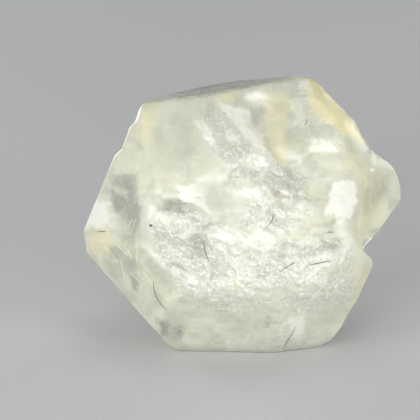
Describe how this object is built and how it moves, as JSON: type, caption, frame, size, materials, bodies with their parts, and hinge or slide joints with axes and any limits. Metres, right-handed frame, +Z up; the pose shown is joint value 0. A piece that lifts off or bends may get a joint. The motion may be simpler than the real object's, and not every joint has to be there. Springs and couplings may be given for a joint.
{
  "type": "phenakite crystal",
  "caption": "Loose rough phenakite crystal: a stout, cloudy, straw-tinted prism with a hackly broken front and a smaller worn crystal grown into its side, resting on a flat face.",
  "frame": {"origin": "middle of the bounding box, at the level of the surface it rests on", "axes": "+X to the right across the broken front, along the crystal's greatest width; +Y from the broken front to the back faces; +Z up"},
  "size_m": [0.0142, 0.0096, 0.0119],
  "materials": {
    "crystal": "natural crystal, glassy on its side faces and hackly on the broken front, see-through at the edges and milky inside"
  },
  "bodies": {
    "root": {"crystal": "crystal"}
  },
  "joints": []
}
